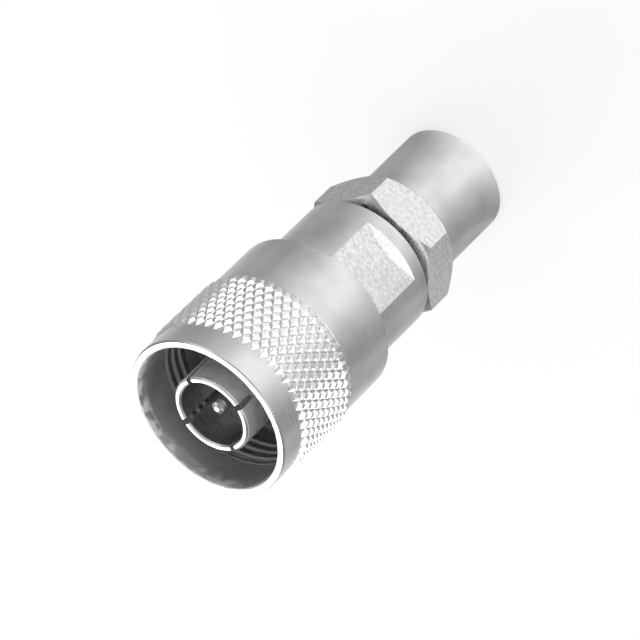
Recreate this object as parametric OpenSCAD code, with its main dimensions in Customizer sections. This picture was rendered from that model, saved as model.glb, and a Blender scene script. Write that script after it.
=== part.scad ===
// N type cable plug, clamp fitting. It stands on its cable end with the mouth up.
// The origin is the centre of the tail's end face and the axis is Z. All sizes are in millimetres.

/* [Clamp nut] */
// Diameter of the plain round tail
tail_d = 11.8; // [10.6:0.1:13]
// Length of the plain round tail, up to the hexagon's rear cone
tail_l = 9.35; // [5:0.05:16]
// Hexagon across its flats
hex_af = 13.5; // [12.8:0.1:15]
// Length of the hexagon with both of its cones
hex_l = 5.35; // [5:0.05:8]
// Slope of the bevel on the hexagon's front corners, in degrees
hex_bevel = 30; // [15:1:45]
// Gap left between the tight clamp nut and the body
clamp_gap = 1; // [0.2:0.05:1.2]
// Diameter of the cable that the plug takes
cable_d = 7.6; // [6:0.1:8]
// Clearance round the cable, on the diameter
cable_clearance = 0.3; // [0.1:0.05:0.6]
// Major diameter of the clamp nut's thread in the body
clamp_thread_d = 11; // [10.4:0.05:11.4]
// Width of the relief groove behind the thread
relief_w = 0.9; // [0.5:0.1:1.2]
// Depth of the relief groove
relief_depth = 0.45; // [0.2:0.05:0.7]

/* [Body] */
// Outer diameter of the body
body_d = 14.84; // [14.4:0.02:15.2]
// Length of the body
body_l = 16.8; // [15.5:0.1:22]
// Thickness of the web that the outer contact passes through
web_t = 2; // [1.2:0.1:2.6]
// Diameter of the cavity for the cable clamp
cavity_d = 10.8; // [10.2:0.05:11.2]
// Distance across the wrench flats
wrench_af = 13; // [12.6:0.1:14]
// Length of the wrench flats
wrench_l = 6.7; // [5:0.1:9]
// Length of the collar behind the wrench flats
collar_l = 1.7; // [0.8:0.1:3]
// Length of full round between the flats and the coupling nut
land_l = 0.5; // [0.2:0.05:1.5]
// Turn of the wrench flats about the axis, in degrees
wrench_turn = -102.3; // [-180:0.1:180]

/* [Coupling nut] */
// Length of the coupling nut
nut_l = 17.8; // [17:0.1:20]
// Outer diameter of the plain bands
nut_d = 17.5; // [17.2:0.05:18.5]
// Major diameter of the coupling thread
thread_d = 15.875; // [15.6:0.005:16.2]
// How far the cup's floor lies behind the body's front face
cup_overlap = 1; // [0.4:0.1:1.6]
// Length of the plain band in front of the knurl
front_band_l = 2.8; // [1.5:0.1:4]
// Length of the knurled band
knurl_l = 8.4; // [5:0.1:11]
// Number of diamonds round the knurl
knurl_count = 52; // [30:1:64]
// Length of one diamond along the axis
knurl_pitch = 1.68; // [1.2:0.02:2.4]
// How far the diamonds stand above the plain bands, on the radius
knurl_rise = 0.28; // [0.15:0.01:0.4]
// How far the grooves lie below the plain bands, on the radius
knurl_sink = 0.07; // [0.04:0.01:0.2]
// Width of each diamond's flat top, as a share of the diamond
knurl_top = 0.4; // [0.1:0.05:0.6]
// Chamfer on the mouth's outer edge
rim_chamfer = 0.15; // [0.1:0.05:0.5]

/* [Retaining ring] */
// Thickness of the retaining ring
ring_t = 0.9; // [0.6:0.05:1.2]
// Depth of the groove in the body
ring_sink = 0.7; // [0.4:0.05:0.9]
// How far the ring reaches into the coupling nut
ring_reach = 0.42; // [0.25:0.01:0.5]
// Distance of the ring's middle behind the body's front face
ring_back = 3.6; // [2.4:0.1:5]
// Opening of the split ring
ring_split = 1.6; // [0.8:0.1:3]

/* [Outer contact] */
// Outer diameter of the slotted sleeve
sleeve_d = 8.4; // [8.1:0.05:8.5]
// Inner diameter of the sleeve
sleeve_bore_d = 7; // [6.8:0.05:7.2]
// Length of the sleeve in front of the body
sleeve_l = 9.25; // [8.5:0.05:10]
// Outer diameter of the sleeve's root, in the web
root_d = 9; // [8.6:0.05:9.4]
// Thickness of the flange behind the web
flange_t = 1; // [0.6:0.1:1.6]
// Number of slots
slot_count = 4; // [2:1:6]
// Width of each slot
slot_w = 0.6; // [0.3:0.05:0.9]
// Length of each slot
slot_l = 6.8; // [4:0.1:7]
// Turn of the first slot about the axis, in degrees
slot_turn = -113.5; // [-180:0.5:180]
// Chamfer on the sleeve's tip
sleeve_chamfer = 0.2; // [0.1:0.05:0.3]

/* [Interface gasket] */
// Outer diameter of the interface gasket
seal_d = 13.2; // [11:0.1:14]
// Height of the interface gasket
seal_h = 1.6; // [0.8:0.1:2]

/* [Centre contact] */
// Diameter of the pin
pin_d = 1.64; // [1.6:0.01:1.7]
// Length of the pin in front of its shoulder
pin_l = 5.6; // [5:0.1:6]
// Length of the cone and round at the pin's tip
pin_tip_l = 0.7; // [0.4:0.05:1]
// Diameter of the contact behind the pin
stem_d = 3.04; // [2.8:0.02:3.2]
// Length of the stem in front of the collar
stem_l = 5.7; // [5.5:0.1:6]
// Diameter of the collar between the insulators
stop_d = 4.4; // [4:0.1:5]
// Thickness of the collar
stop_t = 0.8; // [0.5:0.05:1]
// Length of the barrel behind the collar
barrel_l = 3.8; // [3:0.1:4.5]
// Diameter of the hole for the cable's conductor
conductor_d = 1.9; // [1.4:0.05:2.1]
// Diameter of the solder hole in the barrel's side
solder_hole_d = 0.7; // [0.5:0.05:1]

/* [Insulators] */
// Length of the front insulator
front_bead_l = 4.9; // [3.5:0.1:5.2]
// Length of the front insulator's wider rear end
front_step_l = 1.5; // [1:0.1:1.8]
// Diameter of the front insulator's wider rear end
front_step_d = 7.8; // [7.5:0.05:8]
// Thickness of the rear insulator
rear_bead_t = 1.6; // [1.3:0.1:2.4]

/* [Cable clamp] */
// Diameter of the cable's dielectric
dielectric_d = 5; // [4:0.1:5.4]
// Thickness of the braid clamp's flange
clamp_flange_t = 1.2; // [0.8:0.1:1.6]
// Length of the braid clamp down to the gasket's face
clamp_l = 3.4; // [3:0.1:4.5]
// Outer diameter of the braid clamp's skirt
skirt_d = 9.5; // [9.1:0.05:9.8]
// Depth of the V edge in the cable gasket
v_depth = 0.9; // [0.5:0.05:1.2]
// Height of the cable gasket
cable_seal_h = 3.1; // [2.6:0.1:4]
// Thickness of the slip washer
washer_t = 0.6; // [0.4:0.05:0.9]
// How much wider than the cable entry the washer's hole is, on the radius
washer_ease = 0.2; // [0.1:0.05:0.4]

/* [Fits] */
// Running clearance on the radius, between pieces that turn
run_gap = 0.05; // [0.02:0.01:0.09]
// Assembly clearance on the radius, between pieces that stay put
seat_gap = 0.03; // [0.01:0.01:0.08]
// Clearance on each side of the retaining ring in the coupling nut
ring_gap = 0.1; // [0.05:0.01:0.2]
// Small chamfer on turned edges
edge = 0.2; // [0.1:0.05:0.3]

/* [Hidden] */
$fn = 96;

hex_r = hex_af / 2 / cos(30);
cavity_r = cavity_d / 2;
fit_r = cavity_r - seat_gap;
entry_r = (cable_d + cable_clearance) / 2;
cavity_l = body_l - web_t;
stack_l = flange_t + rear_bead_t + clamp_l + cable_seal_h + washer_t;

z_clamp_face = tail_l + hex_l;
z_body = z_clamp_face + clamp_gap;
z_body_front = z_body + body_l;
z_web = z_body_front - web_t;
z_flange = z_web - flange_t;
z_rear_bead = z_flange - rear_bead_t;
z_seal_top = z_rear_bead - clamp_l;
z_washer = z_web - stack_l;
z_flats = z_body + collar_l;
z_nut = z_flats + wrench_l + land_l;
z_mouth = z_nut + nut_l;
z_cup = z_body_front - cup_overlap;
z_ring = z_body_front - ring_back;
z_sleeve_tip = z_body_front + sleeve_l;
z_knurl = z_mouth - front_band_l - knurl_l;

body_r = body_d / 2;
nut_r = nut_d / 2;
nose_r = clamp_thread_d / 2 - run_gap;
root_r = root_d / 2;
ring_inner_r = body_r - ring_sink + seat_gap;
ring_outer_r = body_r + ring_reach;
v_r = (skirt_d / 2 + entry_r) / 2;

nickel = [0.74, 0.74, 0.73];
bright_nickel = [0.84, 0.84, 0.83];
silver = [0.9, 0.9, 0.88];
ptfe = [0.94, 0.94, 0.92];
black_rubber = [0.12, 0.12, 0.12];

// A solid of revolution from [radius, height] points
module turned(outline) {
    rotate_extrude() polygon(outline);
}

// A plain ring between two heights
module ring(outer_r, inner_r, z0, z1) {
    turned([[inner_r, z0], [outer_r, z0], [outer_r, z1], [inner_r, z1]]);
}

// Diamonds in a lattice of crossing grooves: each is a low pyramid with a flat top.
// Lattice points with an even sum of row and column are groove crossings, the others are diamonds.
module diamond_band(groove_r, top_r, end_r, seat_r, z0, length, count, pitch) {
    columns = 2 * count;
    rows = 2 * max(1, round(length / pitch));
    step_a = 360 / columns;
    step_z = length / rows;
    function at(r, column, row) =
        [r * cos(column * step_a), r * sin(column * step_a), z0 + row * step_z];
    function is_diamond(column, row) = (column + row) % 2 == 1;
    function is_end(row) = row == 0 || row == rows;
    function place(column, row) = row * columns + (column + columns) % columns;
    lattice = [for (row = [0:rows], column = [0:columns - 1])
        at(is_diamond(column, row) && is_end(row) ? end_r : groove_r, column, row)];
    whole = [for (row = [1:rows - 1], column = [0:columns - 1])
        if (is_diamond(column, row)) [column, row]];
    tops = [for (cell = whole, corner = [[1, 0], [0, 1], [-1, 0], [0, -1]])
        at(top_r, cell[0] + corner[0] * knurl_top, cell[1] + corner[1] * knurl_top)];
    seat = [for (row = [0, rows], column = [0:columns - 1]) at(seat_r, column, row)];
    first_top = len(lattice);
    first_seat = first_top + len(tops);
    function seat_at(column, upper) = first_seat + upper * columns + (column + columns) % columns;
    function fan(a, b, c, d) = [[a, b, c], [a, c, d]];
    cells = [for (k = [0:len(whole) - 1])
        let (column = whole[k][0], row = whole[k][1], t = first_top + 4 * k,
            e = place(column + 1, row), n = place(column, row + 1),
            w = place(column - 1, row), s = place(column, row - 1))
        each concat(fan(t, t + 1, t + 2, t + 3), fan(e, n, t + 1, t), fan(n, w, t + 2, t + 1),
            fan(w, s, t + 3, t + 2), fan(s, e, t, t + 3))];
    lower_ends = [for (column = [0:columns - 1]) if (is_diamond(column, 0))
        let (c = place(column, 0), e = place(column + 1, 0), n = place(column, 1),
            w = place(column - 1, 0))
        each [[c, e, n], [c, n, w]]];
    upper_ends = [for (column = [0:columns - 1]) if (is_diamond(column, rows))
        let (c = place(column, rows), e = place(column + 1, rows), s = place(column, rows - 1),
            w = place(column - 1, rows))
        each [[c, w, s], [c, s, e]]];
    walls = [for (column = [0:columns - 1])
        each concat(
            fan(seat_at(column, 0), seat_at(column + 1, 0), place(column + 1, 0), place(column, 0)),
            fan(place(column, rows), place(column + 1, rows),
                seat_at(column + 1, 1), seat_at(column, 1)),
            fan(seat_at(column, 1), seat_at(column + 1, 1),
                seat_at(column + 1, 0), seat_at(column, 0)))];
    outward = concat(cells, lower_ends, upper_ends, walls);
    polyhedron(points = concat(lattice, tops, seat), faces = [for (f = outward) [f[2], f[1], f[0]]]);
}

// The turned nut: threaded cup in front, groove for the retaining ring, plain bore behind
module coupling_nut() {
    thread_r = thread_d / 2;
    rear_bore_r = body_r + run_gap;
    groove_r = ring_outer_r + ring_gap;
    half_groove = ring_t / 2 + ring_gap;
    knurl_core_r = (thread_r + nut_r - knurl_sink) / 2;
    outline = [[thread_r + edge / 2, z_mouth], [nut_r - rim_chamfer, z_mouth],
        [nut_r, z_mouth - rim_chamfer], [nut_r, z_knurl + knurl_l],
        [knurl_core_r, z_knurl + knurl_l], [knurl_core_r, z_knurl], [nut_r, z_knurl],
        [nut_r, z_nut + edge], [nut_r - edge, z_nut], [rear_bore_r + edge, z_nut],
        [rear_bore_r, z_nut + edge], [rear_bore_r, z_ring - half_groove],
        [groove_r, z_ring - half_groove], [groove_r, z_ring + half_groove],
        [rear_bore_r, z_ring + half_groove], [rear_bore_r, z_cup], [thread_r, z_cup],
        [thread_r, z_mouth - edge / 2]];
    color(nickel) union() {
        turned(outline);
        diamond_band(nut_r - knurl_sink, nut_r + knurl_rise, nut_r - knurl_sink / 2,
            (knurl_core_r + thread_r) / 2, z_knurl, knurl_l, knurl_count, knurl_pitch);
    }
}

// Split ring of square section, sprung into the body's groove
module retaining_ring() {
    color(bright_nickel) difference() {
        ring(ring_outer_r, ring_inner_r, z_ring - ring_t / 2, z_ring + ring_t / 2);
        translate([0, -ring_split / 2, z_ring - ring_t])
            cube([2 * ring_outer_r, ring_split, 2 * ring_t]);
    }
}

// Rubber ring that the mating socket's rim presses on
module interface_gasket() {
    color(black_rubber) ring(seal_d / 2, root_r + seat_gap, z_body_front, z_body_front + seal_h);
}

module body() {
    thread_r = clamp_thread_d / 2;
    half_groove = ring_t / 2 + seat_gap;
    groove_r = body_r - ring_sink;
    thread_top = z_washer + edge;
    outline = [[thread_r + edge, z_body], [body_r - edge, z_body], [body_r, z_body + edge],
        [body_r, z_ring - half_groove], [groove_r, z_ring - half_groove],
        [groove_r, z_ring + half_groove], [body_r, z_ring + half_groove],
        [body_r, z_body_front - edge], [body_r - edge, z_body_front],
        [root_r + seat_gap, z_body_front], [root_r + seat_gap, z_web], [cavity_r, z_web],
        [cavity_r, thread_top], [thread_r, thread_top], [thread_r, z_body + edge]];
    color(nickel) difference() {
        turned(outline);
        rotate(wrench_turn) for (side = [0, 180]) rotate(side)
            translate([wrench_af / 2, -body_r, z_flats]) cube([body_r, body_d, wrench_l]);
    }
}

// Springy sleeve cut into fingers, with a flange that seats behind the body's web
module outer_contact() {
    sleeve_r = sleeve_d / 2;
    bore_r = sleeve_bore_d / 2;
    step_r = front_step_d / 2 + seat_gap;
    root_top = z_body_front + seal_h;
    outline = [[step_r, z_flange], [fit_r, z_flange], [fit_r, z_web], [root_r, z_web],
        [root_r, root_top], [sleeve_r, root_top], [sleeve_r, z_sleeve_tip - sleeve_chamfer],
        [sleeve_r - sleeve_chamfer, z_sleeve_tip], [bore_r + sleeve_chamfer, z_sleeve_tip],
        [bore_r, z_sleeve_tip - sleeve_chamfer], [bore_r, z_flange + front_step_l],
        [step_r, z_flange + front_step_l]];
    color(silver) difference() {
        turned(outline);
        for (k = [0:slot_count - 1]) rotate(slot_turn + 360 / slot_count * k)
            translate([bore_r / 2, -slot_w / 2, z_sleeve_tip - slot_l]) cube([bore_r, slot_w, slot_l + 1]);
    }
}

module front_insulator() {
    bead_r = sleeve_bore_d / 2 - seat_gap;
    hole_r = stem_d / 2 + seat_gap;
    color(ptfe) turned([[hole_r, z_flange], [front_step_d / 2, z_flange],
        [front_step_d / 2, z_flange + front_step_l], [bead_r, z_flange + front_step_l],
        [bead_r, z_flange + front_bead_l], [hole_r, z_flange + front_bead_l]]);
}

// Pin, stem, collar and barrel turned in one, with a hole for the cable's conductor
module centre_contact() {
    pin_r = pin_d / 2;
    stem_r = stem_d / 2;
    z_shoulder = z_flange + stem_l;
    z_tip = z_shoulder + pin_l;
    z_barrel = z_flange - stop_t - barrel_l;
    hole_l = barrel_l - stop_t;
    tip_r = pin_r / 3;
    outline = [[0, z_tip], [tip_r, z_tip], [0.8 * pin_r, z_tip - pin_tip_l / 3],
        [pin_r, z_tip - pin_tip_l], [pin_r, z_shoulder], [stem_r - edge / 2, z_shoulder],
        [stem_r, z_shoulder - edge / 2], [stem_r, z_flange], [stop_d / 2, z_flange],
        [stop_d / 2, z_flange - stop_t], [stem_r, z_flange - stop_t], [stem_r, z_barrel],
        [conductor_d / 2, z_barrel], [conductor_d / 2, z_barrel + hole_l],
        [0, z_barrel + hole_l + conductor_d / 4]];
    color(silver) difference() {
        turned(outline);
        translate([0, 0, z_barrel + 0.6 * hole_l]) rotate([0, 90, 0])
            cylinder(d = solder_hole_d, h = stem_d);
    }
}

module rear_insulator() {
    hole_r = stem_d / 2 + seat_gap;
    pocket_r = stop_d / 2 + seat_gap;
    color(ptfe) turned([[hole_r, z_rear_bead], [fit_r, z_rear_bead], [fit_r, z_flange],
        [pocket_r, z_flange], [pocket_r, z_flange - stop_t], [hole_r, z_flange - stop_t]]);
}

// Flanged ring whose sharp rear edge bites into the cable gasket
module braid_clamp() {
    dielectric_r = (dielectric_d + cable_clearance) / 2;
    skirt_r = skirt_d / 2;
    z_skirt = z_rear_bead - clamp_flange_t;
    color(bright_nickel) turned([[dielectric_r, z_rear_bead], [fit_r, z_rear_bead],
        [fit_r, z_skirt], [skirt_r, z_skirt], [skirt_r, z_seal_top],
        [v_r, z_seal_top - v_depth], [entry_r, z_seal_top],
        [entry_r, z_seal_top + (clamp_l - clamp_flange_t) / 2], [dielectric_r, z_skirt]]);
}

// Rubber ring with a V groove in its upper face; its hole grips the cable
module cable_gasket() {
    z_low = z_washer + washer_t;
    cable_r = cable_d / 2;
    color(black_rubber) turned([[cable_r, z_low], [fit_r, z_low], [fit_r, z_seal_top],
        [skirt_d / 2, z_seal_top], [v_r, z_seal_top - v_depth], [entry_r, z_seal_top],
        [cable_r, z_seal_top]]);
}

module slip_washer() {
    color(bright_nickel) ring(fit_r, entry_r + washer_ease, z_washer, z_washer + washer_t);
}

// Short hexagon with coned corners, long round tail and threaded nose
module clamp_nut() {
    hex_cone_top = z_clamp_face - (hex_r - hex_af / 2) * tan(hex_bevel);
    relief_r = nose_r - relief_depth;
    color(nickel) difference() {
        union() {
            turned([[0, 0], [tail_d / 2 - edge, 0], [tail_d / 2, edge], [tail_d / 2, tail_l],
                [0, tail_l]]);
            intersection() {
                translate([0, 0, tail_l]) cylinder(r = hex_r, h = hex_l, $fn = 6);
                turned([[0, tail_l], [tail_d / 2, tail_l],
                    [hex_r, tail_l + hex_r - tail_d / 2], [hex_r, hex_cone_top],
                    [hex_af / 2, z_clamp_face], [0, z_clamp_face]]);
            }
            turned([[0, z_clamp_face], [relief_r, z_clamp_face], [relief_r, z_clamp_face + relief_w],
                [nose_r, z_clamp_face + relief_w + relief_depth], [nose_r, z_washer - edge],
                [nose_r - edge, z_washer], [0, z_washer]]);
        }
        turned([[0, -1], [entry_r + edge + 1, -1], [entry_r + edge, 0], [entry_r, edge],
            [entry_r, z_washer + 1], [0, z_washer + 1]]);
    }
}

coupling_nut();
retaining_ring();
interface_gasket();
body();
outer_contact();
front_insulator();
centre_contact();
rear_insulator();
braid_clamp();
cable_gasket();
slip_washer();
clamp_nut();
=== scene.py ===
"""Dresses the plug: plated metal, seals, insulators and threads, on a pale floor with soft light."""

import math

import bmesh
import bpy
from mathutils import Matrix, Vector


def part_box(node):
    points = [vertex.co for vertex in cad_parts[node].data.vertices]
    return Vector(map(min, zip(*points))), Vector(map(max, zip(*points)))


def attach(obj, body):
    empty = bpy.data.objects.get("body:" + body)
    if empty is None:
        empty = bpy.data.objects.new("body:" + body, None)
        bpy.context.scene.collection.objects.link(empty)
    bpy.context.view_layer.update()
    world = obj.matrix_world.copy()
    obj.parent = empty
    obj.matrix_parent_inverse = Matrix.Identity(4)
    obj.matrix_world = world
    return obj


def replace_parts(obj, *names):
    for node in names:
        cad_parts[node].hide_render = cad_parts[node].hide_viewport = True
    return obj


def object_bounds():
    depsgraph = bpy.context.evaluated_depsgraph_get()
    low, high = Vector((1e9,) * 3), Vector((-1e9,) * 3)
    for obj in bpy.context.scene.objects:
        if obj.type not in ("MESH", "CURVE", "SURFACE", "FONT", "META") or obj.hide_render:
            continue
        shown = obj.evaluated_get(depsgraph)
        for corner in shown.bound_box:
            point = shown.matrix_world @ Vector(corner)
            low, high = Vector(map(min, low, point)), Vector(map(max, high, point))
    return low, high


bl_info = {
    "name": "Coaxial plug dresser",
    "version": (1, 0, 0),
    "blender": (4, 5, 0),
    "location": "3D View > Sidebar > Plug",
    "description": "Plated finishes, threads and a studio for a coaxial plug",
    "category": "Object",
}

MM = 0.001

# Short names for the nodes that are used most
MATH, VECTOR = "ShaderNodeMath", "ShaderNodeVectorMath"
SPAN, MIX, NOISE = "ShaderNodeMapRange", "ShaderNodeMix", "ShaderNodeTexNoise"
COLOURS = {"data_type": "RGBA"}
WHITE = (1, 1, 1, 1)

# Finishes
NOISE_LOW, NOISE_HIGH = 0.3, 0.7    # most of a noise's values lie between these
RING_STRETCH = 0.02                 # how fast the lathe's rings change round the plug, against along it
BUMP_HEIGHT = 0.02 * MM             # height of a bump at full strength
SHELL_RINGS = 0.3                   # strength of the lathe's rings on the shells
RING_SMOOTH, RING_ROUGH = 0.05, 0.07    # how much smoother and rougher than the rest the rings get
MILLING_ACROSS, MILLING_ALONG = 0.45 * MM, 0.3 * MM    # size of the cutter's marks on the flats
MILLED = {"body": 0.02, "clamp_nut": 0.16}             # roughness that milling adds to each piece's flats
LEAST_FLAT = 15 * MM * MM           # a smaller plane face isn't a milled flat
LEVEL, ALIGNED = 0.01, 0.99999      # a normal's z on an upright face, and its match with a flat's direction
CUP_INSET = 0.6 * MM                # what lies this deep under the coupling nut's bands is the cup's inside
BORED_ROUGH, SCUFF_ROUGH, SOCKET_ROUGH = 0.15, 0.35, 0.3    # roughness added by boring and by wear

# A thread's ridge: how far each corner stands off the wall, in depths, and along it, in pitches. The foot is
# sunk a little into the wall, so that no gap shows behind the ridge
RIDGE = ((-0.04, -0.44), (1.0, -0.07), (1.0, 0.07), (-0.04, 0.44))
DOUBLES = 0.0005 * MM               # corners nearer than this are one

# Stage
FLOOR_REACH, FLOOR_GAP = 3.0, 0.02 * MM    # half the floor's width, and its distance under the plug
# The floor shows the metal a painted reflection, an emission graded round the plug; the next two values shape
# it
RIGHT_LEVEL = 0.06                  # how much paler the right side of the sweep is
STRIP_SPAN = (148, 164)             # where the paler strip of the sweep begins and is full, in degrees
FLAG_SIDES, WALL_STEPS = 48, 32
# Cards of painted reflection that stand round the plug, which only the metal mirrors: distance, first and
# last direction in degrees, foot and top
GREY_CARDS = {
    "side_card": (400 * MM, -12, 60, 1 * MM, 300 * MM),
    "corner_card": (400 * MM, -74, -12, 1 * MM, 300 * MM),
    "left_card": (380 * MM, 114, 212, 120 * MM, 450 * MM),
}
FRONT_CARD = (400 * MM, -205, -75, 1 * MM)
LAMP_SIZE, LAMP_PLACE = 0.35, (0.03, 0.40, 0.36)
CAMERA_BACK = (-0.0609, -0.7790, 0.6240)
CAMERA_RIGHT = (-0.7337, -0.3886, -0.5570)
CAMERA_OFFSET = (10.58 * MM, 9.26 * MM, 400 * MM)    # from the mouth to the right, up and back

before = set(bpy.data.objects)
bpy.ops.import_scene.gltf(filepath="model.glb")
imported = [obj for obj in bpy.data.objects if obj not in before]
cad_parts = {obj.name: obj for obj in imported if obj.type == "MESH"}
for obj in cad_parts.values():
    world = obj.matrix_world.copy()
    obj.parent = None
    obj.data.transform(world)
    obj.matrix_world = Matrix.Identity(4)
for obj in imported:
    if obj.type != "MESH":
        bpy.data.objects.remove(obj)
CAD_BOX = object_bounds()


# ---------------------------------------------------------------- sizes and colours

def colour(name, text, default):
    """A colour that a user may change, kept as an sRGB hex value."""
    return bpy.props.StringProperty(name=name, description=text, default=default)


def length(name, text, default):
    """A length in metres, shown as such."""
    return bpy.props.FloatProperty(name=name, description=text, default=default, precision=6,
                                   subtype="DISTANCE", unit="LENGTH")


def share(name, text, default):
    """A number from 0 to 1."""
    return bpy.props.FloatProperty(name=name, description=text, default=default, min=0, max=1,
                                   subtype="FACTOR")


def number(name, text, default):
    """Any other number."""
    return bpy.props.FloatProperty(name=name, description=text, default=default)


class PlugFinish(bpy.types.PropertyGroup):
    """Colours and surface grain of the plug's pieces."""
    nickel: colour("Nickel", "Satin nickel plate on the shells", "#EEEEEE")
    nickel_low: colour("Nickel, dull", "The same plate where handling has dulled it", "#DCDCDC")
    flat_nickel: colour("Milled nickel", "Plate on the milled wrench flats", "#FFFFFF")
    flat_low: colour("Milled nickel, dull", "The same plate between the cutter's marks", "#DADADA")
    # The thread's two plate colours are painted shade: darker than the shells, because the thread lies in the
    # shaded cup
    thread_nickel: colour("Thread nickel", "Thin, dull plate on the threads", "#A8A8A8")
    shaded_thread_low: colour("Thread nickel, dull", "The same plate where it is thinnest", "#8C8C8C")
    bright: colour("Bright nickel", "Bright plate on the small inner pieces", "#E6E6E6")
    silver: colour("Silver", "Silver plate on the contacts", "#F2F2F2")
    silver_low: colour("Silver, tarnished", "Silver plate that has begun to tarnish", "#D2D2D2")
    # The bore's colour is painted shade: the sleeve's inside is darkened because it lies deep in the cup
    silver_bore_shade: colour("Silver, in the bore", "Darker tarnish on the sleeve's inside", "#B8B8B8")
    ptfe: colour("PTFE", "Turned fluoropolymer of the insulators", "#ECECEC")
    ptfe_low: colour("PTFE, in the rings", "The same between the tool's rings", "#DCDCD6")
    rubber: colour("Rubber", "Silicone rubber of the two seals", "#505050")
    rubber_dust: colour("Dusty rubber", "The same rubber under a little dust", "#6C6C6C")
    satin: share("Satin roughness", "Roughness of the satin nickel", 0.27)
    turning: length("Turning pitch", "Distance between the marks that the lathe leaves", 0.16 * MM)
    dust: length("Grain", "Size of the plate's fine speckle", 0.12 * MM)
    cloud: length("Cloud", "Size of the patches that handling leaves", 4 * MM)


class PlugThreads(bpy.types.PropertyGroup):
    """Sizes of the two threads."""
    coupling_pitch: length("Coupling pitch", "Pitch of the thread, 24 turns to the inch", 25.4 / 24 * MM)
    coupling_depth: length("Coupling depth", "Height of the coupling thread's ridge", 0.46 * MM)
    coupling_rear: length("Thread relief", "How far above the body's front the thread starts", 1.4 * MM)
    coupling_front: length("Thread lead", "How far the thread's front end lies behind the mouth", 3.4 * MM)
    clamp_pitch: length("Clamp pitch", "Pitch of the clamp nut's thread", 0.75 * MM)
    clamp_relief: length("Clamp relief", "Plain neck behind the clamp nut's thread", 0.4 * MM)
    clamp_depth: length("Clamp depth", "Height of the clamp nut's ridge", 0.4 * MM)
    steps: bpy.props.IntProperty(name="Steps", description="Sides in one turn of a thread", default=72,
                                 min=24)


class PlugStage(bpy.types.PropertyGroup):
    """Floor, light and camera."""
    paper: colour("Paper", "The floor's pale paper", "#F4F4F4")
    # The flag and the cards are painted reflections: sheets that only the metal mirrors and that block no
    # light
    flag: colour("Flag", "Grey card hung above, which only the metal mirrors", "#909090")
    flag_height: length("Flag height", "Height of the grey card over the floor", 250 * MM)
    flag_radius: length("Flag radius", "Half width of the grey card", 170 * MM)
    side_card: colour("Side card", "Grey card at the right, which only the metal mirrors", "#7C7C7C")
    corner_card: colour("Corner card", "Paler card between the side card and the wall in front", "#A6A6A6")
    left_card: colour("Left card", "Dark card high at the left, for the rim and the bevels", "#505050")
    front_height: length("Front card height", "Height of the low bright wall in front", 400 * MM)
    front_level: number("Front card level", "Brightness of the wall in front", 2.2)
    # The next three shape the floor's painted reflection, which only the metal sees
    side_level: share("Side level", "Brightness of the mirrored sweep to the sides", 0.34)
    strip_level: share("Strip level", "Brightness that the paler strip adds to the mirrored sweep", 0.11)
    painted_reflection_reach: length("Sweep reach", "How far out the darker sides of the sweep run", 90 * MM)
    sky: share("Sky", "Strength of the soft light from all round", 1.0)
    lamp_power: number("Lamp", "Power of the soft lamp in watts", 0.62)
    lens: number("Lens", "Focal length in millimetres", 240.75)
    shadow: share("Shadow", "How much of the floor's white comes from light, and so takes a shadow", 0.45)


# ---------------------------------------------------------------- small helpers

def linear(hex_value):
    """sRGB hex to the linear colour that the shader wants."""
    channels = [int(hex_value[i:i + 2], 16) / 255 for i in (1, 3, 5)]
    curve = [c / 12.92 if c <= 0.04045 else ((c + 0.055) / 1.055) ** 2.4 for c in channels]
    return (*curve, 1)


def add(tree, kind, settings=None, **links):
    """Adds a node, sets its attributes, and gives named or numbered inputs a value or a node's output."""
    node = tree.nodes.new(kind)
    for key, value in (settings or {}).items():
        setattr(node, key, value)
    for key, value in links.items():
        numbered = key[0] == "i" and key[1:].isdigit()
        socket = node.inputs[int(key[1:]) if numbered else key.replace("_", " ")]
        source = value.outputs[0] if isinstance(value, bpy.types.Node) else value
        if isinstance(source, bpy.types.NodeSocket):
            tree.links.new(source, socket)
        else:
            socket.default_value = source
    return node


def bare_material(name):
    """A material without nodes, and its tree."""
    material = bpy.data.materials.new(name)
    material.use_nodes = True
    material.node_tree.nodes.clear()
    return material, material.node_tree


def new_material(name):
    """A material with its output, and the shader that feeds it."""
    material, tree = bare_material(name)
    shader = add(tree, "ShaderNodeBsdfPrincipled")
    add(tree, "ShaderNodeOutputMaterial", Surface=shader)
    return material, tree, shader


def dress(tree, shader, base, rough, normal=None, metallic=1.0):
    """Gives a shader its colour, roughness and normal, each a value or another node's output."""
    for label, value in (("Base Color", base), ("Roughness", rough), ("Normal", normal)):
        if isinstance(value, bpy.types.NodeSocket):
            tree.links.new(value, shader.inputs[label])
        elif value is not None:
            shader.inputs[label].default_value = value
    shader.inputs["Metallic"].default_value = metallic


def around_axis(tree, place):
    """A place's separate coordinates, the same place laid flat, and its distance from the plug's axis."""
    parts = add(tree, "ShaderNodeSeparateXYZ", Vector=place).outputs
    flat = add(tree, "ShaderNodeCombineXYZ", X=parts["X"], Y=parts["Y"]).outputs[0]
    radius = add(tree, VECTOR, {"operation": "LENGTH"}, i0=flat).outputs["Value"]
    return parts, flat, radius


# ---------------------------------------------------------------- finishes

def turned_bump(tree, position, finish, depth):
    """Rings left by the lathe, with a fine grain over them, as a bumped normal and the rings' own noise."""
    # Round the plug the rings barely change, so the noise is squeezed along x and y and kept along z
    across, along = RING_STRETCH / finish.turning, 1 / finish.turning
    place = add(tree, "ShaderNodeMapping", Vector=position, Scale=(across, across, along))
    rings = add(tree, NOISE, Vector=place, Scale=1.0, Detail=3.0, Roughness=0.6)
    grain = add(tree, NOISE, Vector=position, Scale=1 / finish.dust, Detail=2.0, Roughness=0.7)
    height = add(tree, MATH, {"operation": "MULTIPLY_ADD"}, i0=grain, i1=0.5, i2=rings)
    bump = add(tree, "ShaderNodeBump", Height=height, Strength=depth, Distance=BUMP_HEIGHT)
    return bump.outputs[0], rings.outputs[0]


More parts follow.
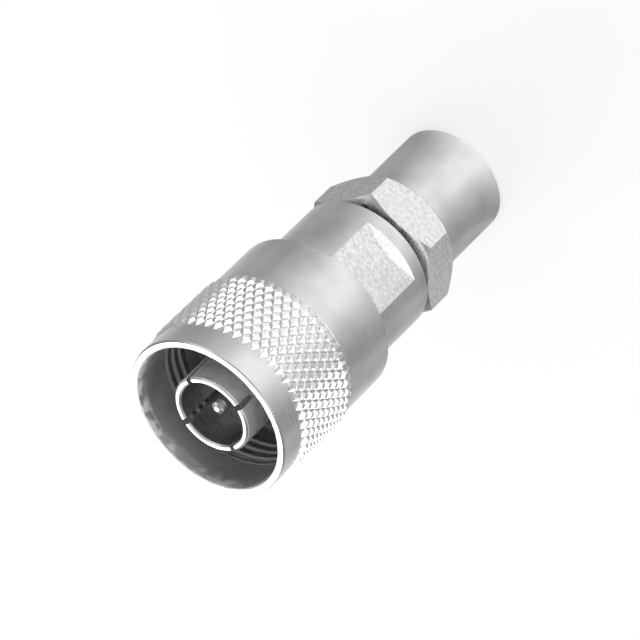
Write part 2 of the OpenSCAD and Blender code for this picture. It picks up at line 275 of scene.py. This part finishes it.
def satin_nickel(finish, name="satin_nickel_plate", flats=(), cut_rough=0.0, knurl_from=None, mouth=0.0):
    """Nickel plate over turned brass: a soft grey shine, which faint lathe rings spread along the plug."""
    material, tree, shader = new_material(name)
    position = add(tree, "ShaderNodeTexCoord").outputs["Object"]
    normal, rings = turned_bump(tree, position, finish, SHELL_RINGS)
    cloud = add(tree, NOISE, Vector=position, Scale=1 / finish.cloud, Detail=3.0)
    dull = add(tree, SPAN, i0=cloud, i1=0.42, i2=0.68)
    base = add(tree, MIX, COLOURS, i0=dull, i6=linear(finish.nickel), i7=linear(finish.nickel_low)).outputs[2]
    rough = add(tree, SPAN, i0=rings, i1=NOISE_LOW, i2=NOISE_HIGH,
                i3=finish.satin - RING_SMOOTH, i4=finish.satin + RING_ROUGH)
    if flats:
        milled = flat_mask(tree, flats)
        marks = milled_marks(tree, position)
        bright, low = linear(finish.flat_nickel), linear(finish.flat_low)
        cut = add(tree, MIX, COLOURS, i0=marks, i6=bright, i7=low).outputs[2]
        base = add(tree, MIX, COLOURS, i0=milled, i6=base, i7=cut).outputs[2]
        rough = add(tree, MATH, {"operation": "MULTIPLY_ADD"}, i0=milled, i1=cut_rough, i2=rough)
    if knurl_from:
        parts, _flat, radius = around_axis(tree, position)
        pressed = add(tree, SPAN, i0=radius, i1=knurl_from + 0.02 * MM, i2=knurl_from + 0.08 * MM)
        base = add(tree, MIX, COLOURS, i0=pressed, i6=base, i7=linear(finish.flat_nickel)).outputs[2]
        inside = add(tree, MATH, {"operation": "LESS_THAN"}, i0=radius, i1=knurl_from - CUP_INSET)
        rough = cup_wear(tree, position, parts["Z"], mouth, inside, rough)
    dress(tree, shader, base, rough.outputs[0], normal)
    return material


def cup_wear(tree, position, level, mouth, inside, rough):
    """Roughens the inside of the cup, which is bored and not turned fine, and scuffed near the mouth."""
    rough = add(tree, MATH, {"operation": "MULTIPLY_ADD"}, i0=inside, i1=BORED_ROUGH, i2=rough)
    near = add(tree, SPAN, i0=level, i1=mouth - 1.6 * MM, i2=mouth - 0.4 * MM)
    noise = add(tree, NOISE, Vector=position, Scale=1 / (0.9 * MM), Detail=4.0)
    scuffs = add(tree, SPAN, i0=noise, i1=0.4, i2=0.6)
    zone = add(tree, MATH, {"operation": "MULTIPLY"}, i0=inside, i1=near)
    scuffed = add(tree, MATH, {"operation": "MULTIPLY"}, i0=zone, i1=scuffs)
    return add(tree, MATH, {"operation": "MULTIPLY_ADD"}, i0=scuffed, i1=SCUFF_ROUGH, i2=rough)


def flat_directions(node, least):
    """Angles about the axis of the flat, upright faces of a CAD piece that are larger than the given area."""
    areas = {}
    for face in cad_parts[node].data.polygons:
        middle = face.center
        upright = abs(face.normal.z) < LEVEL
        if upright and face.normal.dot(Vector((middle.x, middle.y, 0))) > 0:
            angle = round(math.degrees(math.atan2(face.normal.y, face.normal.x)), 1)
            areas[angle] = areas.get(angle, 0) + face.area
    return [math.radians(angle) for angle, area in areas.items() if area > least]


def flat_mask(tree, angles):
    """1 on the milled flats that face the given ways, and 0 on what is turned."""
    facing = add(tree, "ShaderNodeNewGeometry").outputs["True Normal"]
    total = 0.0
    for angle in angles:
        direction = (math.cos(angle), math.sin(angle), 0)
        aligned = add(tree, VECTOR, {"operation": "DOT_PRODUCT"}, i0=facing, i1=direction).outputs["Value"]
        near = add(tree, MATH, {"operation": "GREATER_THAN"}, i0=aligned, i1=ALIGNED)
        total = add(tree, MATH, {"operation": "MAXIMUM"}, i0=near, i1=total)
    return total


def milled_marks(tree, position):
    """Broad, uneven marks that a cutter leaves on the flats, as a value from 0 to 1."""
    across, along = 1 / MILLING_ACROSS, 1 / MILLING_ALONG
    stretched = add(tree, "ShaderNodeMapping", Vector=position, Scale=(across, across, along))
    marks = add(tree, NOISE, Vector=stretched, Scale=1.0, Detail=5.0, Roughness=0.7)
    return add(tree, SPAN, i0=marks, i1=0.38, i2=0.62)


def thread_nickel(finish):
    """Nickel plate on cut threads, thin and dull, and painted darker as shade inside the cup, so the turns
    show only faintly.
    """
    material, tree, shader = new_material("thread_nickel_plate")
    position = add(tree, "ShaderNodeTexCoord").outputs["Object"]
    grain = add(tree, NOISE, Vector=position, Scale=1 / (0.3 * MM), Detail=3.0)
    thin = add(tree, SPAN, i0=grain, i1=0.35, i2=0.7)
    plate, low = linear(finish.thread_nickel), linear(finish.shaded_thread_low)
    base = add(tree, MIX, COLOURS, i0=thin, i6=plate, i7=low).outputs[2]
    dress(tree, shader, base, 0.55)
    return material


def bright_nickel(finish):
    """Bright nickel plate on small turned or pressed pieces: cleaner and shinier than the shells."""
    material, tree, shader = new_material("bright_nickel_plate")
    position = add(tree, "ShaderNodeTexCoord").outputs["Object"]
    normal, rings = turned_bump(tree, position, finish, 0.15)
    dull = add(tree, SPAN, i0=rings, i1=0.35, i2=0.75)
    base = add(tree, MIX, COLOURS, i0=dull, i6=linear(finish.bright), i7=linear(finish.nickel_low)).outputs[2]
    dress(tree, shader, base, 0.18, normal)
    return material


def silver_plate(finish, inner, outer):
    """Silver plate on the contacts: the palest metal, with a slight grey tarnish in clouds."""
    material, tree, shader = new_material("silver_plate_on_brass")
    position = add(tree, "ShaderNodeTexCoord").outputs["Object"]
    normal, rings = turned_bump(tree, position, finish, 0.2)
    noise = add(tree, NOISE, Vector=position, Scale=1 / (1.5 * MM), Detail=4.0)
    cloud = add(tree, SPAN, i0=noise, i1=0.45, i2=0.7)
    bright, low = linear(finish.silver), linear(finish.silver_low)
    base = add(tree, MIX, COLOURS, i0=cloud, i6=bright, i7=low).outputs[2]
    rough = add(tree, SPAN, i0=rings, i1=NOISE_LOW, i2=NOISE_HIGH, i3=0.24, i4=0.34)
    # Sockets slide over the sleeve's outside and scuff it, so it is rougher there and catches more light.
    # In the bore the silver is painted darker, as painted shade deep inside the sleeve
    _parts, _flat, radius = around_axis(tree, position)
    outside = add(tree, MATH, {"operation": "GREATER_THAN"}, i0=radius, i1=outer - 0.05 * MM)
    rough = add(tree, MATH, {"operation": "MULTIPLY_ADD"}, i0=outside, i1=SOCKET_ROUGH, i2=rough)
    under = add(tree, MATH, {"operation": "LESS_THAN"}, i0=radius, i1=inner + 0.05 * MM)
    beyond_pin = add(tree, MATH, {"operation": "GREATER_THAN"}, i0=radius, i1=0.6 * inner)
    shaded_bore = add(tree, MATH, {"operation": "MULTIPLY"}, i0=under, i1=beyond_pin)
    base = add(tree, MIX, COLOURS, i0=shaded_bore, i6=base, i7=linear(finish.silver_bore_shade)).outputs[2]
    dress(tree, shader, base, rough.outputs[0], normal)
    return material


def turned_ptfe(finish):
    """PTFE turned from rod: a waxy, slightly see-through white with soft tool rings."""
    material, tree, shader = new_material("turned_ptfe")
    position = add(tree, "ShaderNodeTexCoord").outputs["Object"]
    normal, rings = turned_bump(tree, position, finish, 0.25)
    streaks = add(tree, SPAN, i0=rings, i1=NOISE_LOW, i2=NOISE_HIGH)
    base = add(tree, MIX, COLOURS, i0=streaks, i6=linear(finish.ptfe), i7=linear(finish.ptfe_low)).outputs[2]
    dress(tree, shader, base, 0.42, normal, metallic=0.0)
    shader.inputs["IOR"].default_value = 1.35
    shader.inputs["Subsurface Weight"].default_value = 0.15
    shader.inputs["Subsurface Radius"].default_value = (0.4 * MM, 0.4 * MM, 0.4 * MM)
    shader.inputs["Subsurface Scale"].default_value = 1.0
    return material


def silicone_rubber(finish):
    """Moulded silicone rubber: dark and matt, with a fine moulded grain and a little dust."""
    material, tree, shader = new_material("moulded_silicone_rubber")
    position = add(tree, "ShaderNodeTexCoord").outputs["Object"]
    grain = add(tree, NOISE, Vector=position, Scale=1 / (0.15 * MM), Detail=3.0)
    dusty = add(tree, SPAN, i0=grain, i1=0.4, i2=0.75)
    clean, dust = linear(finish.rubber), linear(finish.rubber_dust)
    base = add(tree, MIX, COLOURS, i0=dusty, i6=clean, i7=dust).outputs[2]
    bump = add(tree, "ShaderNodeBump", Height=grain, Strength=0.3, Distance=BUMP_HEIGHT)
    dress(tree, shader, base, 0.62, bump.outputs[0], metallic=0.0)
    shader.inputs["IOR"].default_value = 1.41
    return material


def give(obj, material):
    """Puts one finish on every slot of an object."""
    obj.data.materials.clear()
    obj.data.materials.append(material)


# ---------------------------------------------------------------- threads

def thread_tree(name, material, inward):
    """A thread's ridge: a low profile run along a helix, cut back by a 45 degree lead-in at the front."""
    tree = bpy.data.node_groups.new(name, "GeometryNodeTree")
    face = tree.interface
    face.new_socket("Geometry", in_out="OUTPUT", socket_type="NodeSocketGeometry")
    for label in ("Root radius", "Depth", "Pitch", "Rear", "Front"):
        face.new_socket(label, in_out="INPUT", socket_type="NodeSocketFloat")
    face.new_socket("Steps", in_out="INPUT", socket_type="NodeSocketInt")
    given = add(tree, "NodeGroupInput").outputs
    side = -1.0 if inward else 1.0
    run = add(tree, MATH, {"operation": "SUBTRACT"}, i0=given["Front"], i1=given["Rear"])
    # Half a pitch of the ridge's foot stays inside each end of the run
    travel = add(tree, MATH, {"operation": "SUBTRACT"}, i0=run, i1=given["Pitch"])
    turns = add(tree, MATH, {"operation": "DIVIDE"}, i0=travel, i1=given["Pitch"])
    helix = add(tree, "GeometryNodeCurveSpiral", Resolution=given["Steps"], Rotations=turns,
                Start_Radius=given["Root radius"], End_Radius=given["Root radius"], Height=travel)
    upright = add(tree, "GeometryNodeSetCurveNormal", {"mode": "Z_UP"}, Curve=helix)
    # The ridge grows out of the wall over the first half turn, and sinks back over the last
    along_run = add(tree, "GeometryNodeSplineParameter").outputs["Factor"]
    to_end = add(tree, MATH, {"operation": "SUBTRACT"}, i0=1.0, i1=along_run)
    nearest = add(tree, MATH, {"operation": "MINIMUM"}, i0=along_run, i1=to_end)
    turns_in = add(tree, MATH, {"operation": "MULTIPLY"}, i0=nearest, i1=turns)
    grown = add(tree, SPAN, i0=turns_in, i1=0.0, i2=0.5, i3=0.05, i4=1.0)
    profile = add(tree, "GeometryNodeCurvePrimitiveQuadrilateral", {"mode": "POINTS"})
    for number, (off, along) in enumerate(RIDGE, 1):
        across = add(tree, MATH, {"operation": "MULTIPLY"}, i0=given["Depth"], i1=off * side)
        lengthways = add(tree, MATH, {"operation": "MULTIPLY"}, i0=given["Pitch"], i1=along)
        corner = add(tree, "ShaderNodeCombineXYZ", X=across, Y=lengthways)
        tree.links.new(corner.outputs[0], profile.inputs[f"Point {number}"])
    ridge = add(tree, "GeometryNodeCurveToMesh", Curve=upright, Profile_Curve=profile, Scale=grown,
                Fill_Caps=True)
    lift = add(tree, MATH, {"operation": "MULTIPLY_ADD"}, i0=given["Pitch"], i1=0.5, i2=given["Rear"])
    shift = add(tree, "ShaderNodeCombineXYZ", Z=lift)
    raised = add(tree, "GeometryNodeTransform", Geometry=ridge, Translation=shift)
    trimmed = lead_in(tree, raised, given, side)
    plain = add(tree, "GeometryNodeRealizeInstances", Geometry=trimmed)
    dressed = add(tree, "GeometryNodeSetMaterial", Geometry=plain, Material=material)
    add(tree, "NodeGroupOutput", Geometry=dressed)
    return tree


def lead_in(tree, geometry, given, side):
    """Holds each point of the ridge behind a 45 degree cone that opens towards the front."""
    place = add(tree, "GeometryNodeInputPosition").outputs[0]
    parts, flat, radius = around_axis(tree, place)
    ahead = add(tree, MATH, {"operation": "SUBTRACT"}, i0=given["Front"], i1=parts["Z"])
    reach = add(tree, MATH, {"operation": "MULTIPLY_ADD"}, i0=ahead, i1=side, i2=given["Root radius"])
    held = add(tree, MATH, {"operation": "MAXIMUM" if side < 0 else "MINIMUM"}, i0=radius, i1=reach)
    kept = add(tree, MATH, {"operation": "DIVIDE"}, i0=held, i1=radius)
    scaled = add(tree, VECTOR, {"operation": "SCALE"}, Vector=flat, Scale=kept)
    moved = add(tree, "ShaderNodeSeparateXYZ", Vector=scaled).outputs
    final = add(tree, "ShaderNodeCombineXYZ", X=moved["X"], Y=moved["Y"], Z=parts["Z"])
    return add(tree, "GeometryNodeSetPosition", Geometry=geometry, Position=final)


def run_tree(name, tree, values):
    """Runs a geometry tree with the given inputs and returns its result as one plain mesh object."""
    carrier = bpy.data.objects.new(name + "_carrier", bpy.data.meshes.new(name + "_carrier"))
    bpy.context.scene.collection.objects.link(carrier)
    modifier = carrier.modifiers.new("Thread", "NODES")
    modifier.node_group = tree
    for item in tree.interface.items_tree:
        if item.in_out == "INPUT" and item.name in values:
            modifier[item.identifier] = values[item.name]
    graph = bpy.context.evaluated_depsgraph_get()
    mesh = bpy.data.meshes.new_from_object(carrier.evaluated_get(graph))
    carrier.modifiers.remove(modifier)
    bpy.data.objects.remove(carrier)
    mesh.name = name
    piece = bpy.data.objects.new(name, mesh)
    bpy.context.scene.collection.objects.link(piece)
    return piece


def outward(mesh):
    """Merges doubles and turns every face outwards."""
    work = bmesh.new()
    work.from_mesh(mesh)
    bmesh.ops.remove_doubles(work, verts=work.verts, dist=DOUBLES)
    bmesh.ops.recalc_face_normals(work, faces=work.faces)
    work.to_mesh(mesh)
    work.free()


def wall_radius(node, height, start, way):
    """Distance from the axis to the wall of a CAD piece that a ray meets at a height."""
    hit, spot, _normal, _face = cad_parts[node].ray_cast(Vector((start, 0, height)), Vector((way, 0, 0)))
    if not hit:
        raise RuntimeError(f"{node} has no wall at {height / MM:.2f} mm")
    return math.hypot(spot.x, spot.y)


def bore_radius(node, height):
    """Distance from the axis to the wall that surrounds it."""
    return wall_radius(node, height, 0, 1)


def outer_radius(node, height):
    """Distance from the axis to a piece's outermost wall."""
    return wall_radius(node, height, 100 * MM, -1)


def wall_span(node, depth):
    """Least and greatest distance from the axis of a CAD piece's corners, within a depth of its front end."""
    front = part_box(node)[1].z
    corners = [corner.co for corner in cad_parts[node].data.vertices]
    reach = [math.hypot(spot.x, spot.y) for spot in corners if spot.z > front - depth]
    return min(reach), max(reach)


# ---------------------------------------------------------------- operators

class PLUG_OT_finishes(bpy.types.Operator):
    """Gives each CAD piece its plated, moulded or turned finish"""
    bl_idname = "plug.finishes"
    bl_label = "Finishes"

    def execute(self, context):
        finish = context.scene.plug_finish
        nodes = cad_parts
        finishes = {
            "nickel_plate": satin_nickel(finish),
            "bright_nickel": bright_nickel(finish),
            "silver_plate": silver_plate(finish, *wall_span("outer_contact", 3 * MM)),
            "ptfe": turned_ptfe(finish),
            "seal_rubber": silicone_rubber(finish),
        }
        for name, node in nodes.items():
            slots = [slot.material.name.split(".")[0] for slot in node.material_slots if slot.material]
            known = [slot for slot in slots if slot in finishes]
            if not known:
                raise RuntimeError(f"{name} has no finish for its slots {slots}")
            give(node, finishes[known[0]])
        # The wrench flats and the hex are milled after turning, so they are paler and less even
        for name, cut_rough in MILLED.items():
            flats = flat_directions(name, LEAST_FLAT)
            give(nodes[name], satin_nickel(finish, f"satin_nickel_plate_milled_{name}", flats, cut_rough))
        # The knurling wheel burnishes the diamonds that it raises over the plain bands
        low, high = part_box("coupling_nut")
        plain = outer_radius("coupling_nut", low.z + 3 * MM)
        knurled = satin_nickel(finish, "satin_nickel_plate_knurled", knurl_from=plain, mouth=high.z)
        give(nodes["coupling_nut"], knurled)
        return {"FINISHED"}


class PLUG_OT_coupling_thread(bpy.types.Operator):
    """Cuts the look of the coupling thread inside the cup"""
    bl_idname = "plug.coupling_thread"
    bl_label = "Coupling thread"

    def execute(self, context):
        sizes = context.scene.plug_threads
        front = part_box("coupling_nut")[1].z
        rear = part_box("body")[1].z + sizes.coupling_rear
        radius = bore_radius("coupling_nut", (rear + front) / 2)
        tree = thread_tree("coupling_thread", thread_nickel(context.scene.plug_finish), inward=True)
        piece = run_tree("coupling_thread", tree, {
            "Root radius": radius, "Depth": sizes.coupling_depth, "Pitch": sizes.coupling_pitch,
            "Rear": rear, "Front": front - sizes.coupling_front, "Steps": sizes.steps})
        outward(piece.data)
        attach(piece, "coupling")
        return {"FINISHED"}


def recut_nose(name, core, low):
    """A copy of the clamp nut whose threaded nose is turned down to the thread's core."""
    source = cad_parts["clamp_nut"]
    mesh = source.data.copy()
    mesh.name = name
    outward(mesh)
    for corner in mesh.vertices:
        reach = math.hypot(corner.co.x, corner.co.y)
        if corner.co.z > low and reach > core:
            corner.co.x *= core / reach
            corner.co.y *= core / reach
    if "custom_normal" in mesh.attributes:
        mesh.attributes.remove(mesh.attributes["custom_normal"])
    mesh.polygons.foreach_set("use_smooth", [True] * len(mesh.polygons))
    mesh.set_sharp_from_angle(angle=math.radians(30))
    nose = bpy.data.objects.new(name, mesh)
    bpy.context.scene.collection.objects.link(nose)
    return nose


class PLUG_OT_clamp_thread(bpy.types.Operator):
    """Cuts the thread on the clamp nut's nose, which shows when the nut is unscrewed"""
    bl_idname = "plug.clamp_thread"
    bl_label = "Clamp thread"

    def execute(self, context):
        sizes = context.scene.plug_threads
        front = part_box("clamp_nut")[1].z
        radius = outer_radius("clamp_nut", front - 1.5 * MM)
        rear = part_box("body")[0].z + sizes.clamp_relief
        nose = recut_nose("clamp_nut_cut", radius - sizes.clamp_depth, rear - 0.5 * sizes.clamp_relief)
        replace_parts(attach(nose, "clamp"), "clamp_nut")
        plate = satin_nickel(context.scene.plug_finish, "satin_nickel_plate_clamp_thread")
        tree = thread_tree("clamp_thread", plate, inward=False)
        piece = run_tree("clamp_thread", tree, {
            "Root radius": radius - sizes.clamp_depth, "Depth": sizes.clamp_depth, "Pitch": sizes.clamp_pitch,
            "Rear": rear, "Front": front - 0.1 * MM, "Steps": sizes.steps})
        outward(piece.data)
        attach(piece, "clamp")
        return {"FINISHED"}


class PLUG_OT_stage(bpy.types.Operator):
    """Lays the floor, hangs the flag and the cards of painted reflection and the lamp, and sets the light and
    the camera
    """
    bl_idname = "plug.stage"
    bl_label = "Stage"

    def execute(self, context):
        stage = context.scene.plug_stage
        low, high = CAD_BOX
        centre = Vector(((low.x + high.x) / 2, (low.y + high.y) / 2, low.z))
        lay_floor(stage, centre)
        hang_cards(stage, centre)
        light_world(stage)
        hang_lamp(stage, centre)
        set_camera(stage, high.z)
        context.scene.view_settings.view_transform = "Standard"
        return {"FINISHED"}


def flat_sheet(name, centre, half, height):
    """A square sheet that lies flat round a centre."""
    corners = [(centre.x + x * half, centre.y + y * half, centre.z + height)
               for x, y in ((-1, -1), (1, -1), (1, 1), (-1, 1))]
    mesh = bpy.data.meshes.new(name)
    mesh.from_pydata(corners, [], [(0, 1, 2, 3)])
    sheet = bpy.data.objects.new(name, mesh)
    bpy.context.scene.collection.objects.link(sheet)
    return sheet


def lay_floor(stage, centre):
    """Pale paper: white with a soft shadow to the camera; to the metal it shows a painted reflection, bright
    in front and behind and darker at the sides.
    """
    floor = flat_sheet("floor", centre, FLOOR_REACH, -FLOOR_GAP)
    material, tree = bare_material("floor_paper")
    paper = add(tree, "ShaderNodeBsdfPrincipled", Base_Color=linear(stage.paper), Roughness=0.95,
                Specular_IOR_Level=0.1)
    path = add(tree, "ShaderNodeLightPath").outputs
    white = add(tree, "ShaderNodeEmission", Color=WHITE, Strength=1.0)
    seen = add(tree, "ShaderNodeMixShader", i0=stage.shadow, i1=white, i2=paper)
    # Painted reflection: an emission that only glossy rays see, graded round the plug
    painted_reflection = add(tree, "ShaderNodeEmission", Color=WHITE, Strength=painted_reflection_level(stage, tree))
    mirrored = add(tree, "ShaderNodeMixShader", i0=path["Is Glossy Ray"], i1=paper, i2=painted_reflection)
    camera, through = path["Is Camera Ray"], path["Is Transmission Ray"]
    direct = add(tree, MATH, {"operation": "MAXIMUM"}, i0=camera, i1=through)
    final = add(tree, "ShaderNodeMixShader", i0=direct, i1=mirrored, i2=seen)
    add(tree, "ShaderNodeOutputMaterial", Surface=final)
    give(floor, material)


def painted_reflection_level(stage, tree):
    """Brightness of the painted reflection by the direction from the plug: full in front and behind, low at
    the sides.
    """
    place = add(tree, "ShaderNodeTexCoord").outputs["Object"]
    parts, _flat, away = around_axis(tree, place)
    angle = add(tree, MATH, {"operation": "ARCTAN2"}, i0=parts["Y"], i1=parts["X"])
    cosine = add(tree, MATH, {"operation": "COSINE"}, i0=angle)
    sideways = add(tree, MATH, {"operation": "ABSOLUTE"}, i0=cosine)
    level = add(tree, SPAN, i0=sideways, i1=0.25, i2=0.95, i3=1.0, i4=stage.side_level)
    # The right side of the painted reflection is a little paler than the left
    on_right = add(tree, MATH, {"operation": "GREATER_THAN"}, i0=parts["X"], i1=0.0)
    right = add(tree, MATH, {"operation": "MULTIPLY"}, i0=on_right, i1=sideways)
    level = add(tree, MATH, {"operation": "MULTIPLY_ADD"}, i0=right, i1=RIGHT_LEVEL, i2=level)
    # A paler strip of the painted reflection lies behind the plug on the left
    start, full = map(math.radians, STRIP_SPAN)
    strip = add(tree, SPAN, i0=angle, i1=start, i2=full, i3=0.0, i4=stage.strip_level)
    level = add(tree, MATH, {"operation": "ADD"}, i0=level, i1=strip)
    far = add(tree, SPAN, i0=away, i1=stage.painted_reflection_reach, i2=2 * stage.painted_reflection_reach)
    return add(tree, MATH, {"operation": "MAXIMUM"}, i0=level, i1=far)


def hang_card(name, corners, faces, shade, strength=1.0):
    """A painted reflection: a card in the air that only the metal mirrors; it throws no shadow and the camera
    doesn't see it.
    """
    mesh = bpy.data.meshes.new(name)
    mesh.from_pydata(corners, [], faces)
    card = bpy.data.objects.new(name, mesh)
    bpy.context.scene.collection.objects.link(card)
    card.visible_camera = card.visible_diffuse = card.visible_shadow = card.visible_transmission = False
    material, tree = bare_material(name + "_paper")
    glow = add(tree, "ShaderNodeEmission", Color=linear(shade), Strength=strength)
    add(tree, "ShaderNodeOutputMaterial", Surface=glow)
    give(card, material)


def curved_wall(centre, radius, start, stop, low, high):
    """Corners and faces of an upright wall along part of a circle round the plug, with angles in degrees."""
    corners = []
    for k in range(WALL_STEPS + 1):
        angle = math.radians(start + (stop - start) * k / WALL_STEPS)
        spot = centre + radius * Vector((math.cos(angle), math.sin(angle), 0))
        corners += [spot + Vector((0, 0, low)), spot + Vector((0, 0, high))]
    faces = [(2 * k, 2 * k + 2, 2 * k + 3, 2 * k + 1) for k in range(WALL_STEPS)]
    return corners, faces


def hang_cards(stage, centre):
    """Painted reflections for the metal: a grey card overhead, a bright glowing wall in front that paints a
    highlight on the knurl, and grey cards at both sides.
    """
    turns = [2 * math.pi * k / FLAG_SIDES for k in range(FLAG_SIDES)]
    middle = centre + Vector((0, -0.35 * stage.flag_radius, stage.flag_height))
    rim = [middle + stage.flag_radius * Vector((math.cos(t), math.sin(t), 0)) for t in turns]
    hang_card("flag", rim, [tuple(range(FLAG_SIDES))], stage.flag)
    for name, place in GREY_CARDS.items():
        hang_card(name, *curved_wall(centre, *place), getattr(stage, name))
    front = curved_wall(centre, *FRONT_CARD, stage.front_height)
    hang_card("front_card", *front, "#FFFFFF", stage.front_level)


def light_world(stage):
    """Soft light from all round, and plain white where the camera or the metal looks past the floor."""
    world = bpy.data.worlds.new("studio")
    world.use_nodes = True
    tree = world.node_tree
    tree.nodes.clear()
    path = add(tree, "ShaderNodeLightPath").outputs
    seen = add(tree, MATH, {"operation": "MAXIMUM"}, i0=path["Is Camera Ray"], i1=path["Is Glossy Ray"])
    seen = add(tree, MATH, {"operation": "MAXIMUM"}, i0=seen, i1=path["Is Transmission Ray"])
    strength = add(tree, SPAN, i0=seen, i3=stage.sky)
    background = add(tree, "ShaderNodeBackground", Color=WHITE, Strength=strength)
    add(tree, "ShaderNodeOutputWorld", Surface=background)
    bpy.context.scene.world = world


def hang_lamp(stage, centre):
    """One large soft lamp, behind the plug and above it, where the rim and the contact's tip mirror it."""
    data = bpy.data.lights.new("soft_lamp", "AREA")
    data.shape = "DISK"
    data.size = LAMP_SIZE
    data.energy = stage.lamp_power
    lamp = bpy.data.objects.new("soft_lamp", data)
    bpy.context.scene.collection.objects.link(lamp)
    lamp.location = centre + Vector(LAMP_PLACE)
    lamp.rotation_euler = (centre - lamp.location).to_track_quat("-Z", "Y").to_euler()


def set_camera(stage, mouth):
    """A long lens that looks down into the mouth, rolled so that the tail runs to the upper right."""
    data = bpy.data.cameras.new("camera")
    data.lens = stage.lens
    data.sensor_width = 36
    data.clip_start = 0.01
    data.clip_end = 10
    camera = bpy.data.objects.new("camera", data)
    bpy.context.scene.collection.objects.link(camera)
    back = Vector(CAMERA_BACK).normalized()
    right = Vector(CAMERA_RIGHT)
    right = (right - back * right.dot(back)).normalized()
    up = back.cross(right)
    turn = Matrix((right, up, back)).transposed()
    sideways, upwards, away = CAMERA_OFFSET
    place = Vector((0, 0, mouth)) + sideways * right + upwards * up + away * back
    camera.matrix_world = Matrix.Translation(place) @ turn.to_4x4()
    bpy.context.scene.camera = camera


class PLUG_PT_panel(bpy.types.Panel):
    """Lists the steps that dress the plug"""
    bl_label = "Plug"
    bl_idname = "PLUG_PT_panel"
    bl_space_type = "VIEW_3D"
    bl_region_type = "UI"
    bl_category = "Plug"

    def draw(self, context):
        for step in STEPS:
            self.layout.operator(step.bl_idname)
        for group in (context.scene.plug_finish, context.scene.plug_threads, context.scene.plug_stage):
            for key in group.__annotations__:
                self.layout.prop(group, key)


STEPS = (PLUG_OT_stage, PLUG_OT_finishes, PLUG_OT_coupling_thread, PLUG_OT_clamp_thread)
GROUPS = {"plug_finish": PlugFinish, "plug_threads": PlugThreads, "plug_stage": PlugStage}


def register():
    for group in (*GROUPS.values(), *STEPS, PLUG_PT_panel):
        bpy.utils.register_class(group)
    for name, group in GROUPS.items():
        setattr(bpy.types.Scene, name, bpy.props.PointerProperty(type=group))


def unregister():
    for name in GROUPS:
        delattr(bpy.types.Scene, name)
    for group in reversed((*GROUPS.values(), *STEPS, PLUG_PT_panel)):
        bpy.utils.unregister_class(group)


def main():
    register()
    for step in STEPS:
        area, operation = step.bl_idname.split(".")
        getattr(getattr(bpy.ops, area), operation)()


if __name__ == "__main__":
    main()
